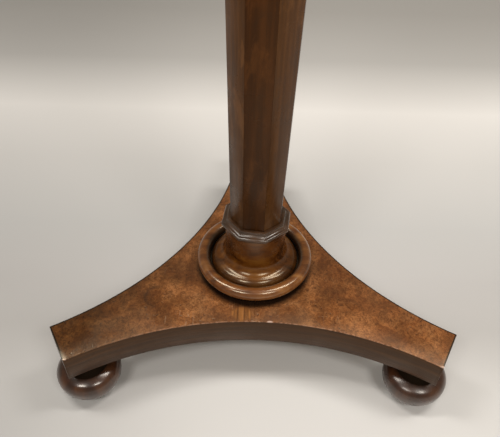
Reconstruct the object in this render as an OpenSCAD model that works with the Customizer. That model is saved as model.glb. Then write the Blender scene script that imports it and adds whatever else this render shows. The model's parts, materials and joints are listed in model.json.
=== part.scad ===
// Tilt-top occasional table on a three-armed platform.
// Millimetres. The column's axis is Z, the floor is Z = 0, and the front is -Y.
// One arm points to the back, the other two to the front left and front right.

/* [Platform] */
// Distance from the column's axis to the end face of each arm
platform_reach = 218; // [190:1:250]
// Width of the flat end of each arm
platform_end_w = 44; // [36:1:56]
// Distance from the column's axis to the middle of each hollow side
platform_waist = 79; // [68:1:90]
// Thickness of the platform with its veneers
platform_t = 32; // [28:1:40]
// Thickness of the saw-cut veneers on the platform and the top
veneer_t = 1.5; // [1:0.1:2.2]

/* [Feet] */
// Height of each foot from the floor to the platform
foot_h = 53; // [46:1:60]
// Diameter of each foot at its belly
foot_d = 65.2; // [62:0.2:72]
// Distance from the end face of the arm back to the foot's centre
foot_inset = 22.6; // [20:0.2:30]
// Depth of the flat cut under the ball that the foot stands on
foot_flat_cut = 1; // [0.6:0.1:2]
// Diameter of the turned neck under the platform
foot_neck_d = 42; // [34:1:48]
// Radius of the foot's side from its belly down to the floor
foot_belly_r = 25; // [22:0.5:26]
// Radius of the foot's shoulder from its belly up to the neck
foot_shoulder_r = 14; // [11.6:0.2:18]
// Diameter of the round tenon on top of the foot
foot_tenon_d = 20; // [14:1:26]
// Length of that tenon
foot_tenon_l = 24; // [16:1:25]

/* [Ring] */
// Outer diameter of the ring round the socle
ring_d = 122.2; // [112:0.2:130]
// Thickness of the ring's round section
ring_tube_d = 13.5; // [12:0.5:16]
// Height of the ring's section centre above the platform
ring_lift = 12.4; // [11:0.1:14]
// Diameter of the recessed step under the ring
ring_step_d = 102; // [98:1:106]
// Thickness of the disc inside the ring
ring_disc_t = 8; // [6:0.5:9]

/* [Socle] */
// Height of the socle above the platform
socle_h = 64; // [56:1:74]
// Diameter of the socle at its lowest round
socle_d = 92; // [86:0.5:94]
// Radius of that round
socle_round_r = 9; // [7:0.5:10]
// Height of the round's centre above the platform
socle_round_z = 9; // [8:0.5:12]
// Diameter of the socle's neck
socle_neck_d = 62; // [58:1:66]
// Radius of the hollow between the round and the neck
socle_cove_r = 11.3; // [9:0.1:14]
// Diameter of the spigot under the socle
socle_spigot_d = 38; // [34:1:44]

/* [Column] */
// Width across the flats at the foot of the column
column_foot_w = 49.2; // [44:0.2:52]
// Width across the flats at the head of the column
column_head_w = 71.2; // [60:0.2:80]
// Angle by which the column is turned from square with the front
column_turn = -7.6; // [-22:0.1:22]
// Thickness of the veneer leaves on the column
column_veneer_t = 1.2; // [0.8:0.1:1.6]
// Diameter of the round tenons at both ends of the column
tenon_d = 28; // [22:1:30]
// Width of each tenon wedge at its thick end
wedge_w = 3; // [2:0.5:4]
// Width of each tenon wedge at its thin end
wedge_tip_w = 1; // [0.6:0.1:1.6]
// Length of each tenon wedge
wedge_l = 20; // [14:1:24]

/* [Collars] */
// Radius of the bead on the foot collar
collar_bead_r = 2.2; // [1.8:0.1:3]
// Radius of the cove above that bead
collar_cove_r = 3.4; // [2.5:0.1:4]
// Distance from the column's face out to the centre of the bead
collar_reach = 6.7; // [6:0.1:8]
// Radius of the bead on the head collar
neck_bead_r = 1.8; // [1.5:0.1:2.6]
// Radius of the cove below that bead
neck_cove_r = 2.8; // [2:0.1:3.4]
// Distance from the column's face out to the centre of the head bead
neck_reach = 5.4; // [5:0.1:7]
// Height of the fillet that closes each cove
collar_fillet_h = 1.2; // [0.8:0.1:2]
// Distance that each fillet stands out from the column's face
collar_fillet_w = 3.6; // [2.8:0.1:4.5]

/* [Top] */
// Height of the table
table_h = 720; // [680:1:760]
// Diameter of the top
top_d = 520; // [480:2:600]
// Thickness of the top with its veneer
top_t = 20; // [18:0.5:26]
// Distance from the edge of the top in to the rim's joint with the ground
rim_w = 9; // [8:0.5:12]
// Width of the crossbanding inside the rim
crossband_w = 22; // [14:1:32]
// Width of the middle board of the ground
middle_board_w = 170; // [150:1:200]

/* [Block] */
// Width of the tilting block
block_w = 149; // [130:1:170]
// Distance from the column's axis to the front face of the block
block_front = 66; // [58:1:80]
// Thickness of the block
block_t = 28; // [26:1:34]
// Chamfer on the lower edges of the block
block_chamfer = 6; // [3:0.5:8]
// Distance from the column's axis back to the pivot
pivot_back = 60; // [54:1:72]
// Diameter of the pivot dowels
pivot_d = 14; // [10:0.5:16]
// Depth to which each pivot dowel goes into the block
pivot_depth = 26; // [18:1:30]

/* [Bearers] */
// Width of each bearer
bearer_w = 24; // [20:1:30]
// Half of the length of each bearer
bearer_half_l = 200; // [180:1:210]
// Length of the taper at each end of a bearer
bearer_taper_l = 60; // [40:1:80]
// Thickness of a bearer at its tips
bearer_tip_t = 12; // [10:0.5:16]
// Diameter of the bearer screws' shanks
bearer_screw_d = 4.2; // [3.5:0.1:5]
// Depth of the counterbore that sinks each bearer screw
bearer_sink = 9; // [7:0.5:10]

/* [Catch] */
// Width of the catch plate
catch_w = 36; // [34:1:44]
// Length of the catch plate
catch_l = 48; // [46:1:56]
// Thickness of the brass plates of the catch and the strike
brass_t = 2; // [1.6:0.1:2.4]
// Distance from the front face of the block to the catch plate
catch_gap = 3; // [2:0.5:5]
// Width of the case round the bolt
case_w = 22; // [20:0.5:23]
// Height of that case below the plate
case_h = 11.5; // [11:0.1:13]
// Wall thickness of the case
case_wall = 1.5; // [1.2:0.1:1.8]
// Length of the bolt's body without its nose
bolt_l = 20; // [17:0.5:22]
// Width of the bolt's nose
nose_w = 9.6; // [8:0.1:11]
// Height of the bolt's nose
nose_h = 4.8; // [4:0.1:5.2]
// Distance that the nose reaches into the strike
nose_throw = 6.5; // [5:0.1:7]
// Travel of the bolt
bolt_travel = 8; // [7.5:0.1:9]
// Diameter of the knob
knob_d = 11; // [9:0.5:14]
// Height of the knob with its flange
knob_h = 11; // [9:0.5:14]
// Diameter of the knob's stem
stem_d = 4; // [3:0.1:4.4]
// Outer diameter of the coil spring
spring_d = 7.6; // [6:0.1:8]
// Thickness of the spring wire
wire_d = 1; // [0.8:0.1:1.2]
// Number of turns of the spring
spring_turns = 6; // [5:1:7]
// Width of the strike plate
strike_w = 30; // [28:1:36]
// Length of the strike plate's upper leg
strike_l = 16; // [14:0.5:20]
// Height of the strike plate's front leg
strike_h = 16; // [14:0.5:18]
// Diameter of the small brass screws' shanks
small_screw_d = 3; // [2.5:0.1:3.2]

/* [Fits] */
// Clearance round glued tenons, dowels and screws
fit_gap = 0.1; // [0.05:0.01:0.15]
// Radial clearance of the bearers' holes on the pivot dowels
run_gap = 0.08; // [0.04:0.01:0.1]
// Clearance between flat faces that move past each other
slide_gap = 0.3; // [0.2:0.05:0.4]
// Gap between each end of the block and its bearer
side_play = 0.5; // [0.3:0.1:1]
// Width of the glue line at each mitre of the collars and the crossbanding
mitre_gap = 0.05; // [0.02:0.01:0.1]

/* [Hidden] */
$fn = 96;

// Larger than anything in the table, for planes and sectors that cut it
far = 1000;
// How far a cut runs past the face that it opens
past = 1;

// Heights
platform_z = foot_h;
platform_top = foot_h + platform_t;
socle_top = platform_top + socle_h;
under_top = table_h - top_t;
block_z = under_top - block_t;
ground_top = table_h - veneer_t;

// Directions of the arms and of the hollow sides between them
back_angle = 90;
left_angle = 210;
right_angle = 330;
front_side_angle = 270;
right_side_angle = 30;
left_side_angle = 150;

// The arc of a hollow side goes through two arm corners and the waist
hollow_half_chord = platform_reach * cos(30) - platform_end_w / 2 * sin(30);
hollow_depth = platform_reach * sin(30) + platform_end_w / 2 * cos(30) - platform_waist;
hollow_r = (pow(hollow_half_chord, 2) + pow(hollow_depth, 2)) / (2 * hollow_depth);
hollow_centre = platform_waist + hollow_r;
// Extra width that the uncut outline has at each arm's end
corner_overrun = 15;

foot_r = foot_d / 2;
foot_place = platform_reach - foot_inset;
belly_z = foot_belly_r - foot_flat_cut;

ring_r = ring_d / 2;
tube_r = ring_tube_d / 2;
tenon_r = tenon_d / 2;

// The socle's round, the cove above it, and the point where one passes into the other
round_place = socle_d / 2 - socle_round_r;
cove_place = socle_neck_d / 2 + socle_cove_r;
round_to_cove = socle_round_r + socle_cove_r;
cove_z = socle_round_z + sqrt(pow(round_to_cove, 2) - pow(cove_place - round_place, 2));
ogee_place = round_place + (cove_place - round_place) * socle_round_r / round_to_cove;

// Half width across the flats of the column at a height
function column_half(z) =
    (column_foot_w + (column_head_w - column_foot_w) * (z - socle_top) / (block_z - socle_top)) / 2;

pivot_y = pivot_back;
pivot_z = under_top - block_t / 2;
heel_r = block_t / 2 - slide_gap;
bearer_in = block_w / 2 + side_play;
bearer_x = bearer_in + bearer_w / 2;
// Each bearer's screws keep clear of the pivot and of the tapers' thin ends
bearer_screw_inset = 35;
bearer_screw_ahead = 70;
bearer_screw_behind = 15;
bearer_screw_y = [bearer_screw_inset - bearer_half_l, -bearer_screw_ahead,
                  bearer_screw_behind, bearer_half_l - bearer_screw_inset];
bearer_screw_up = 12;
bearer_head_r = 4;
bearer_head_h = 2.4;
// Width of the slot in each screw's head
screw_slot_w = 0.8;

top_r = top_d / 2;
rim_in = top_r - rim_w;
leaf_r = rim_in - crossband_w;

// The catch lies under the top, in front of the block
catch_y = -(block_front + catch_gap);
catch_z = under_top - brass_t;
// Distances from the plate's ends in to the case
case_front_inset = 2;
case_back_inset = 4;
case_front = catch_y - case_front_inset;
case_l = catch_l - case_front_inset - case_back_inset;
case_in_w = case_w - 2 * case_wall;
case_in_front = case_front - case_wall;
case_in_back = case_front - case_l + case_wall;
case_floor = catch_z - case_h;
bolt_front = case_in_front - slide_gap;
bolt_back = bolt_front - bolt_l;
bolt_w = case_in_w - 2 * slide_gap;
bolt_low = case_floor + case_wall + slide_gap;
bolt_h = catch_z - slide_gap - bolt_low;
// Depth of the nose's upper face under the plate, and its blunt front
nose_drop = 2;
nose_blunt = 1;
nose_top = catch_z - nose_drop;
nose_tip = -block_front + nose_throw;
// Room in the block behind the nose
pocket_room = 2;
// The knob: how far it hangs below the case, and its flange, neck and flattened crown
knob_y = bolt_front - bolt_l / 2;
knob_below = 1;
knob_flange_h = 1.5;
knob_flange_out = 1.6;
knob_neck_out = 0.4;
knob_crown_cut = 1;
stem_up = 6;
spring_l = bolt_back - case_in_back - 2 * fit_gap;
spring_z = bolt_low + bolt_h / 2;
// The small screws, and how far they stand in from the plates' edges
small_head_out = 1.2;
small_head_r = small_screw_d / 2 + small_head_out;
small_head_h = 1.4;
small_screw_l = 12;
catch_screw_side = 3.4;
catch_screw_end = 5;
catch_screw_x = catch_w / 2 - catch_screw_side;
catch_screw_y = [catch_y - catch_screw_end, catch_y - catch_l + catch_screw_end];
strike_screw_side = 4.5;
strike_screw_end = 5.5;
strike_screw_x = strike_w / 2 - strike_screw_side;
strike_screw_y = -block_front + strike_l - strike_screw_end;
strike_in_w = nose_w + 4 * slide_gap;

WALNUT_BURR = [0.50, 0.29, 0.15];
WALNUT_DARK = [0.27, 0.20, 0.16];
WALNUT_RED = [0.40, 0.22, 0.13];
WALNUT_BROWN = [0.33, 0.22, 0.16];
PINE = [0.76, 0.60, 0.40];
MAHOGANY = [0.42, 0.20, 0.12];
BEECH = [0.72, 0.55, 0.38];
BRASS = [0.78, 0.60, 0.28];
STEEL = [0.52, 0.52, 0.54];

// Flat helpers

// A sector of the plane about a direction, open to the given angle, with both sides set in by
// half of a gap
module sector(direction, angle, gap = 0) {
    rotate(direction) translate([gap / 2 / sin(angle / 2), 0])
        polygon([[0, 0], far * [cos(angle / 2), -sin(angle / 2)],
                 far * [cos(angle / 2), sin(angle / 2)]]);
}

function arm_corner(direction, side, end_inset) =
    (platform_reach - end_inset) * [cos(direction), sin(direction)]
    + side * (platform_end_w / 2 + corner_overrun) * [-sin(direction), cos(direction)];

// The three arms' ends, joined by straight sides, before the hollows are cut
module arms_outline(end_inset) {
    polygon([for (a = [back_angle, left_angle, right_angle], s = [-1, 1]) arm_corner(a, s, end_inset)]);
}

// The platform's outline, with its ends and its hollows set in by a veneer's thickness
module platform_outline(inset = 0) {
    difference() {
        arms_outline(inset);
        for (a = [front_side_angle, right_side_angle, left_side_angle])
            rotate(a) translate([hollow_centre, 0]) circle(r = hollow_r + inset, $fn = 360);
    }
}

// Solid helpers

// The bore for the column's lower tenon, through whatever lies round it
module tenon_bore(low, high) {
    translate([0, 0, low - past]) cylinder(r = tenon_r + fit_gap, h = high - low + 2 * past);
}

// Extrudes a profile drawn as (distance from the axis, height) along one side of the column
module along_side(direction) {
    rotate([0, 0, direction]) rotate([90, 0, 0])
        linear_extrude(height = far, center = true) children();
}

// A tapered octagonal shaft that lies inside the column's faces by an inset
module octagon_shaft(low, high, inset) {
    intersection() {
        for_side(0, low, high, inset);
        for_side(45, low, high, inset);
        for_side(90, low, high, inset);
        for_side(135, low, high, inset);
    }
}

// The slab between two opposite faces of the column
module for_side(direction, low, high, inset) {
    low_half = column_half(low) - inset;
    high_half = column_half(high) - inset;
    along_side(direction)
        polygon([[-low_half, low], [low_half, low], [high_half, high], [-high_half, high]]);
}

// A countersunk wood screw that goes up from the origin, with its slotted head below
module screw(shank_d, length, head_r, head_h) {
    difference() {
        union() {
            cylinder(r1 = head_r, r2 = shank_d / 2, h = head_h);
            cylinder(d = shank_d, h = length);
        }
        translate([-head_r, -screw_slot_w / 2, -past])
            cube([2 * head_r, screw_slot_w, past + head_h / 3]);
    }
}

// The hole that such a screw fits, open below for a given depth
module screw_hole(shank_d, length, head_r, head_h, below) {
    cylinder(r1 = head_r + fit_gap, r2 = shank_d / 2 + fit_gap, h = head_h);
    cylinder(d = shank_d + 2 * fit_gap, h = length + fit_gap);
    translate([0, 0, -below]) cylinder(r = head_r + fit_gap, h = below);
}

// Platform

module platform_core() {
    core_t = platform_t - veneer_t;
    color(PINE) difference() {
        translate([0, 0, platform_z]) linear_extrude(height = core_t)
            platform_outline(veneer_t);
        tenon_bore(platform_z, platform_top);
        for (a = [back_angle, left_angle, right_angle])
            rotate(a) translate([foot_place, 0, platform_z - past])
                cylinder(d = foot_tenon_d + 2 * fit_gap, h = foot_tenon_l + 2 * past);
    }
}

// One of the three veneer leaves on the platform, joined on the middles of the hollow sides
module platform_leaf(direction) {
    color(WALNUT_BURR) difference() {
        translate([0, 0, platform_top - veneer_t]) linear_extrude(height = veneer_t)
            intersection() {
                platform_outline();
                sector(direction, 120);
            }
        tenon_bore(platform_top - veneer_t, platform_top);
    }
}

module side_veneer(direction) {
    color(WALNUT_DARK) translate([0, 0, platform_z])
        linear_extrude(height = platform_t - veneer_t) intersection() {
            rotate(direction) translate([hollow_centre, 0]) difference() {
                circle(r = hollow_r + veneer_t, $fn = 360);
                circle(r = hollow_r, $fn = 360);
            }
            arms_outline(veneer_t);
            sector(direction, 120);
        }
}

module end_veneer(direction) {
    color(WALNUT_DARK) translate([0, 0, platform_z])
        linear_extrude(height = platform_t - veneer_t) intersection() {
            platform_outline();
            rotate(direction) translate([platform_reach - veneer_t, -platform_end_w])
                square([veneer_t + past, 2 * platform_end_w]);
        }
}

// Feet

// A bun with a flat below, a low shoulder and a neck above, and a round tenon into the platform
module foot(direction) {
    color(WALNUT_DARK) rotate(direction) translate([foot_place, 0, 0])
        rotate_extrude() {
            intersection() {
                square([foot_r, belly_z]);
                union() {
                    translate([foot_r - foot_belly_r, belly_z]) circle(r = foot_belly_r);
                    square([foot_r - foot_belly_r, belly_z]);
                }
            }
            translate([0, belly_z]) intersection() {
                square([foot_r, foot_shoulder_r]);
                union() {
                    translate([foot_r - foot_shoulder_r, 0]) circle(r = foot_shoulder_r);
                    square([foot_r - foot_shoulder_r, foot_shoulder_r]);
                }
            }
            translate([0, belly_z]) square([foot_neck_d / 2, foot_h - belly_z]);
            square([foot_tenon_d / 2, foot_h + foot_tenon_l]);
        }
}

// Ring and socle

module socle_ring() {
    color(WALNUT_RED) translate([0, 0, platform_top])
        rotate_extrude() difference() {
            union() {
                square([ring_step_d / 2, ring_disc_t]);
                translate([ring_r - tube_r, ring_lift]) circle(r = tube_r);
            }
            translate([0, -past])
                square([socle_spigot_d / 2 + fit_gap, ring_disc_t + 2 * past]);
        }
}

// Spigot, round, cove and neck, from the platform upwards
module socle() {
    color(WALNUT_RED) translate([0, 0, platform_top])
        rotate_extrude() difference() {
            union() {
                square([socle_spigot_d / 2, ring_disc_t]);
                intersection() {
                    translate([round_place, socle_round_z]) circle(r = socle_round_r);
                    translate([0, ring_disc_t]) square([socle_d, socle_h]);
                }
                difference() {
                    translate([0, ring_disc_t]) square([ogee_place, cove_z - ring_disc_t]);
                    translate([cove_place, cove_z]) circle(r = socle_cove_r);
                }
                translate([0, ring_disc_t]) square([socle_neck_d / 2, socle_h - ring_disc_t]);
            }
            translate([0, -past]) square([tenon_r + fit_gap, socle_h + 2 * past]);
        }
}

// Column

// The kerf in a tenon's end, or the wedge in it, with its thick end at the origin
module wedge_shape(gap) {
    rotate([90, 0, 0]) linear_extrude(height = 2 * tenon_r + 2 * gap, center = true)
        polygon([[-wedge_w / 2 - gap, 0], [wedge_w / 2 + gap, 0],
                 [wedge_tip_w / 2 + gap, wedge_l + gap], [-wedge_tip_w / 2 - gap, wedge_l + gap]]);
}

module column_core() {
    upper_l = block_t - fit_gap;
    color(PINE) difference() {
        union() {
            rotate(column_turn) octagon_shaft(socle_top, block_z, column_veneer_t);
            translate([0, 0, platform_z]) cylinder(r = tenon_r, h = socle_top - platform_z + past);
            translate([0, 0, block_z - past]) cylinder(r = tenon_r, h = upper_l + past);
        }
        translate([0, 0, platform_z]) wedge_shape(fit_gap);
        translate([0, 0, block_z + upper_l]) rotate([180, 0, 0]) wedge_shape(fit_gap);
    }
}

module lower_wedge() {
    color(BEECH) intersection() {
        translate([0, 0, platform_z]) wedge_shape(0);
        translate([0, 0, platform_z]) cylinder(r = tenon_r, h = block_t);
    }
}

module upper_wedge() {
    color(BEECH) intersection() {
        translate([0, 0, under_top - fit_gap]) rotate([180, 0, 0]) wedge_shape(0);
        translate([0, 0, block_z]) cylinder(r = tenon_r, h = block_t);
    }
}

// One of the eight veneer leaves, mitred to its neighbours along the column's arrises
module column_leaf(number) {
    low_half = column_half(socle_top);
    high_half = column_half(block_z);
    direction = front_side_angle + column_turn + 45 * (number - 1);
    color(WALNUT_BROWN) intersection() {
        along_side(direction)
            polygon([[low_half - column_veneer_t, socle_top], [low_half, socle_top],
                     [high_half, block_z], [high_half - column_veneer_t, block_z]]);
        translate([0, 0, socle_top]) linear_extrude(height = block_z - socle_top)
            sector(direction, 45);
    }
}

// Collars

// Eight mitred lengths of a moulding whose profile is drawn as (distance from the axis, height)
module mitred_ring() {
    for (k = [0:7]) {
        direction = front_side_angle + column_turn + 45 * k;
        intersection() {
            along_side(direction) difference() {
                children();
                column_side();
            }
            linear_extrude(height = far) sector(direction, 45, mitre_gap);
        }
    }
}

// The column's own half width over its whole height, which the mouldings are cut to fit
module column_side() {
    polygon([[-past, socle_top - past], [column_half(socle_top - past), socle_top - past],
             [column_half(block_z + past), block_z + past], [-past, block_z + past]]);
}

// Bead, cove and fillet, drawn upwards from zero outside the column's half width
module collar_profile(half, reach, bead_r, cove_r) {
    place = half + reach;
    cove_top = 2 * bead_r + cove_r;
    square([place, 2 * bead_r]);
    translate([place, bead_r]) circle(r = bead_r);
    difference() {
        square([place, cove_top]);
        translate([place, cove_top]) circle(r = cove_r);
    }
    translate([0, cove_top]) square([half + collar_fillet_w, collar_fillet_h]);
}

// The foot collar stands on the socle
module foot_collar() {
    color(WALNUT_DARK) mitred_ring()
        translate([0, socle_top])
            collar_profile(column_half(socle_top), collar_reach, collar_bead_r, collar_cove_r);
}

// The head collar is smaller, and hangs upside down under the block
module head_collar() {
    color(WALNUT_DARK) mitred_ring()
        translate([0, block_z]) mirror([0, 1])
            collar_profile(column_half(block_z), neck_reach, neck_bead_r, neck_cove_r);
}

// Tilting block

// The block seen from its end: chamfered below, with a rounded heel behind the pivot
module block_profile() {
    polygon([[-block_front, under_top], [-block_front, block_z + block_chamfer],
             [-block_front + block_chamfer, block_z], [pivot_y + heel_r, block_z],
             [pivot_y + heel_r, pivot_z], [pivot_y, pivot_z], [pivot_y, under_top]]);
    translate([pivot_y, pivot_z]) circle(r = heel_r);
}

module tilting_block() {
    half = block_w / 2;
    color(MAHOGANY) difference() {
        intersection() {
            rotate([90, 0, 90]) linear_extrude(height = block_w, center = true) block_profile();
            rotate([90, 0, 0]) linear_extrude(height = far, center = true)
                polygon([[-half, block_z + block_chamfer], [-half + block_chamfer, block_z],
                         [half - block_chamfer, block_z], [half, block_z + block_chamfer],
                         [half, under_top], [-half, under_top]]);
        }
        tenon_bore(block_z, under_top);
        for (s = [-1, 1])
            translate([s * (half - pivot_depth - fit_gap), pivot_y, pivot_z]) rotate([0, s * 90, 0])
                cylinder(d = pivot_d + 2 * fit_gap, h = pivot_depth + past);
        strike_space();
        strike_screw_places() rotate([180, 0, 0])
            screw_hole(small_screw_d, small_screw_l, small_head_r, small_head_h, past);
    }
}

// The rebates for the strike plate and the pocket behind it for the nose
module strike_space() {
    translate([-strike_w / 2, -block_front - past, under_top - brass_t])
        cube([strike_w, strike_l + past, brass_t + past]);
    translate([-strike_w / 2, -block_front - past, under_top - strike_h])
        cube([strike_w, brass_t + past, strike_h + past]);
    translate([-strike_in_w / 2, -block_front, nose_top - nose_h - slide_gap])
        cube([strike_in_w, nose_throw + pocket_room, nose_h + 2 * slide_gap]);
}

module pivot_dowel(side) {
    inner = block_w / 2 - pivot_depth;
    outer = bearer_in + bearer_w - fit_gap;
    color(BEECH) translate([side * inner, pivot_y, pivot_z]) rotate([0, side * 90, 0])
        cylinder(d = pivot_d, h = outer - inner);
}

// Bearers

// Repeats a child at each screw place of one bearer, at the face where the head is seated
module bearer_screw_places(side) {
    for (y = bearer_screw_y)
        translate([side * bearer_x, y, block_z + bearer_sink]) children();
}

// The length of screw from its head to its point in the top's boards
function bearer_screw_l() = block_t - bearer_sink + bearer_screw_up;

module bearer(side) {
    color(MAHOGANY) difference() {
        translate([side * bearer_x, 0, 0]) rotate([90, 0, 90])
            linear_extrude(height = bearer_w, center = true)
                polygon([[-bearer_half_l, under_top], [-bearer_half_l, under_top - bearer_tip_t],
                         [-bearer_half_l + bearer_taper_l, block_z],
                         [bearer_half_l - bearer_taper_l, block_z],
                         [bearer_half_l, under_top - bearer_tip_t], [bearer_half_l, under_top]]);
        translate([side * (bearer_in - past), pivot_y, pivot_z]) rotate([0, side * 90, 0])
            cylinder(r = pivot_d / 2 + run_gap, h = bearer_w + 2 * past);
        bearer_screw_places(side)
            screw_hole(bearer_screw_d, bearer_screw_l(), bearer_head_r, bearer_head_h, bearer_sink + past);
    }
}

module bearer_screws() {
    color(STEEL) for (s = [-1, 1])
        bearer_screw_places(s)
            screw(bearer_screw_d, bearer_screw_l(), bearer_head_r, bearer_head_h);
}

// Top

// One board of the ground, between two lines across the top
module top_board(from_y, to_y) {
    color(PINE) difference() {
        intersection() {
            translate([0, 0, under_top]) cylinder(r = rim_in, h = ground_top - under_top, $fn = 180);
            translate([-far / 2, from_y, under_top - past]) cube([far, to_y - from_y, far]);
        }
        for (s = [-1, 1])
            bearer_screw_places(s)
                screw_hole(bearer_screw_d, bearer_screw_l(), bearer_head_r, bearer_head_h, past);
        catch_screw_places()
            screw_hole(small_screw_d, small_screw_l, small_head_r, small_head_h, past);
    }
}

// One quarter of the top's veneer
module top_leaf(number) {
    color(WALNUT_BURR) translate([0, 0, ground_top]) linear_extrude(height = veneer_t)
        intersection() {
            circle(r = leaf_r, $fn = 180);
            sector(90 * number - 45, 90);
        }
}

// Eight cross-grained lengths of veneer between the quarters and the rim
module crossbanding() {
    color(WALNUT_BROWN) translate([0, 0, ground_top]) for (k = [0:7])
        linear_extrude(height = veneer_t) intersection() {
            difference() {
                circle(r = rim_in, $fn = 180);
                circle(r = leaf_r, $fn = 180);
            }
            sector(45 * k, 45, mitre_gap);
        }
}

// One of the four lengths of solid edging, worked to a half-round
module top_rim(number) {
    color(WALNUT_DARK) intersection() {
        rotate_extrude($fn = 180) intersection() {
            translate([top_r - top_t / 2, under_top + top_t / 2]) circle(r = top_t / 2, $fn = 48);
            translate([rim_in, under_top]) square([rim_w, top_t]);
        }
        translate([0, 0, under_top - past]) linear_extrude(height = top_t + 2 * past)
            sector(90 * number, 90);
    }
}

// Catch

module catch_screw_places() {
    for (s = [-1, 1], y = catch_screw_y)
        translate([s * catch_screw_x, y, catch_z]) children();
}

module catch_plate() {
    color(BRASS) difference() {
        translate([-catch_w / 2, catch_y - catch_l, catch_z]) cube([catch_w, catch_l, brass_t]);
        catch_screw_places()
            screw_hole(small_screw_d, small_screw_l, small_head_r, small_head_h, past);
    }
}

// A box with an open top against the plate, a window for the nose and a slot for the stem
module catch_case() {
    slot_w = stem_d + 2 * slide_gap;
    color(BRASS) difference() {
        translate([-case_w / 2, case_front - case_l, case_floor]) cube([case_w, case_l, case_h]);
        translate([-case_in_w / 2, case_in_back, case_floor + case_wall])
            cube([case_in_w, case_in_front - case_in_back, case_h]);
        translate([-nose_w / 2 - slide_gap, case_in_front - past, nose_top - nose_h - slide_gap])
            cube([nose_w + 2 * slide_gap, case_wall + 2 * past, nose_h + 2 * slide_gap]);
        translate([-slot_w / 2, knob_y - bolt_travel - slot_w / 2, case_floor - past])
            cube([slot_w, bolt_travel + slot_w, case_wall + 2 * past]);
    }
}

// The bolt, whose nose is bevelled below so that the top closes by itself
module catch_bolt() {
    color(BRASS) difference() {
        union() {
            translate([-bolt_w / 2, bolt_back, bolt_low]) cube([bolt_w, bolt_l, bolt_h]);
            rotate([90, 0, 90]) linear_extrude(height = nose_w, center = true)
                polygon([[bolt_front - past, nose_top - nose_h],
                         [nose_tip - nose_h + nose_blunt, nose_top - nose_h],
                         [nose_tip, nose_top - nose_blunt], [nose_tip, nose_top],
                         [bolt_front - past, nose_top]]);
        }
        translate([0, knob_y, bolt_low - past])
            cylinder(d = stem_d + 2 * fit_gap, h = stem_up + past + fit_gap);
    }
}

// A turned button with a flange and a neck, on a stem that is screwed into the bolt
module catch_knob() {
    flange_top = case_floor - knob_below;
    crown_z = flange_top - knob_h;
    color(BRASS) translate([0, knob_y, 0]) rotate_extrude() {
        translate([0, flange_top - knob_flange_h])
            square([stem_d / 2, bolt_low + stem_up - flange_top + knob_flange_h]);
        translate([0, flange_top - knob_flange_h])
            square([stem_d / 2 + knob_flange_out, knob_flange_h]);
        translate([0, crown_z + knob_d / 2])
            square([stem_d / 2 + knob_neck_out, knob_h - knob_d / 2]);
        intersection() {
            translate([0, crown_z - knob_crown_cut + knob_d / 2]) circle(r = knob_d / 2);
            translate([0, crown_z]) square([knob_d / 2, knob_h - knob_flange_h]);
        }
    }
}

// The coil runs along Y from the bolt's back to the case's end wall
function spring_point(t, around) =
    let (middle_r = spring_d / 2 - wire_d / 2, turn = 360 * spring_turns * t)
    let (out = middle_r + wire_d / 2 * cos(around))
    [out * cos(turn),
     bolt_back - fit_gap - wire_d / 2 - (spring_l - wire_d) * t + wire_d / 2 * sin(around),
     spring_z + out * sin(turn)];

module catch_spring() {
    rings = 12 * spring_turns;
    sides = 6;
    points = [for (i = [0:rings], j = [0:sides - 1]) spring_point(i / rings, 360 * j / sides)];
    walls = [for (i = [0:rings - 1], j = [0:sides - 1])
        let (k = (j + 1) % sides)
        [i * sides + j, i * sides + k, (i + 1) * sides + k, (i + 1) * sides + j]];
    first_cap = [for (j = [sides - 1:-1:0]) j];
    last_cap = [for (j = [0:sides - 1]) rings * sides + j];
    color(STEEL) polyhedron(points, concat(walls, [first_cap, last_cap]), convexity = 8);
}

module catch_screws() {
    color(BRASS) catch_screw_places()
        screw(small_screw_d, small_screw_l, small_head_r, small_head_h);
}

// Strike

module strike_screw_places() {
    for (s = [-1, 1])
        translate([s * strike_screw_x, strike_screw_y, under_top]) children();
}

// A right-angled plate let into the top and the front of the block
module strike_plate() {
    color(BRASS) difference() {
        union() {
            translate([-strike_w / 2, -block_front, under_top - brass_t])
                cube([strike_w, strike_l, brass_t]);
            translate([-strike_w / 2, -block_front, under_top - strike_h])
                cube([strike_w, brass_t, strike_h]);
        }
        translate([-strike_in_w / 2, -block_front - past, nose_top - nose_h - slide_gap])
            cube([strike_in_w, brass_t + 2 * past, nose_h + 2 * slide_gap]);
        strike_screw_places() rotate([180, 0, 0])
            screw_hole(small_screw_d, small_screw_l, small_head_r, small_head_h, past);
    }
}

module strike_screws() {
    color(BRASS) strike_screw_places() rotate([180, 0, 0])
        screw(small_screw_d, small_screw_l, small_head_r, small_head_h);
}

platform_core();
platform_leaf(back_angle);  // platform_leaf_back
platform_leaf(left_angle);  // platform_leaf_left
platform_leaf(right_angle);  // platform_leaf_right
side_veneer(front_side_angle);  // side_veneer_front
side_veneer(right_side_angle);  // side_veneer_right
side_veneer(left_side_angle);  // side_veneer_left
end_veneer(back_angle);  // end_veneer_back
end_veneer(left_angle);  // end_veneer_left
end_veneer(right_angle);  // end_veneer_right
foot(back_angle);  // foot_back
foot(left_angle);  // foot_left
foot(right_angle);  // foot_right
socle_ring();
socle();
column_core();
column_leaf(1);  // column_leaf_1
column_leaf(2);  // column_leaf_2
column_leaf(3);  // column_leaf_3
column_leaf(4);  // column_leaf_4
column_leaf(5);  // column_leaf_5
column_leaf(6);  // column_leaf_6
column_leaf(7);  // column_leaf_7
column_leaf(8);  // column_leaf_8
foot_collar();
head_collar();
lower_wedge();
upper_wedge();
tilting_block();
pivot_dowel(-1);  // pivot_dowel_left
pivot_dowel(1);  // pivot_dowel_right
bearer(-1);  // bearer_left
bearer(1);  // bearer_right
bearer_screws();
top_board(-far / 2, -middle_board_w / 2);  // top_board_front
top_board(-middle_board_w / 2, middle_board_w / 2);  // top_board_middle
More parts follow.
